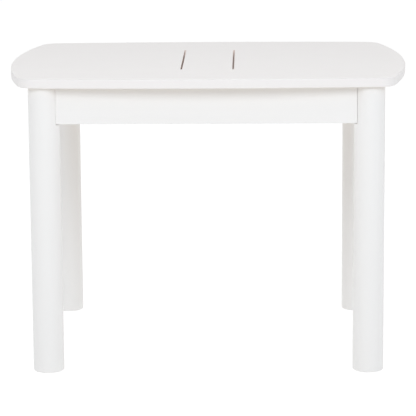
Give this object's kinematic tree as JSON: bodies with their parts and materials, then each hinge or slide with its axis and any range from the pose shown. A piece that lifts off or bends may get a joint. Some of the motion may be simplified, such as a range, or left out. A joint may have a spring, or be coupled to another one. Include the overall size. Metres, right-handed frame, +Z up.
{
  "type": "children's table",
  "caption": "White children's play table: a board with bowed edges and two narrow grooves, on round legs joined by aprons, corner plates and hanger bolts.",
  "frame": {"origin": "on the floor, under the middle of the board", "axes": "+X along the board's length, +Y across it to the rear, +Z up"},
  "size_m": [0.6998, 0.5398, 0.515],
  "materials": {
    "lacquered_board": "white satin lacquer on 16 mm fibreboard",
    "lacquered_wood": "white satin lacquer on solid beech",
    "zinc_sheet": "bright zinc plate on pressed steel sheet",
    "zinc_fastener": "bright zinc plate on steel",
    "nylon": "white moulded nylon"
  },
  "bodies": {
    "root": {"tabletop": "lacquered_board", "front_apron": "lacquered_wood", "rear_apron": "lacquered_wood", "left_apron": "lacquered_wood", "right_apron": "lacquered_wood", "leg_front_left": "lacquered_wood", "leg_front_right": "lacquered_wood", "leg_rear_right": "lacquered_wood", "leg_rear_left": "lacquered_wood", "corner_plate_front_left": "zinc_sheet", "corner_plate_front_right": "zinc_sheet", "corner_plate_rear_right": "zinc_sheet", "corner_plate_rear_left": "zinc_sheet", "angle_front_left": "zinc_sheet", "angle_front_right": "zinc_sheet", "angle_rear_left": "zinc_sheet", "angle_rear_right": "zinc_sheet", "angle_left": "zinc_sheet", "angle_right": "zinc_sheet", "hanger_bolts": "zinc_fastener", "bolt_washers": "zinc_fastener", "bolt_nuts": "zinc_fastener", "plate_screws": "zinc_fastener", "angle_screws": "zinc_fastener", "glide_nails": "zinc_fastener", "glide_front_left": "nylon", "glide_front_right": "nylon", "glide_rear_right": "nylon", "glide_rear_left": "nylon"}
  },
  "joints": []
}
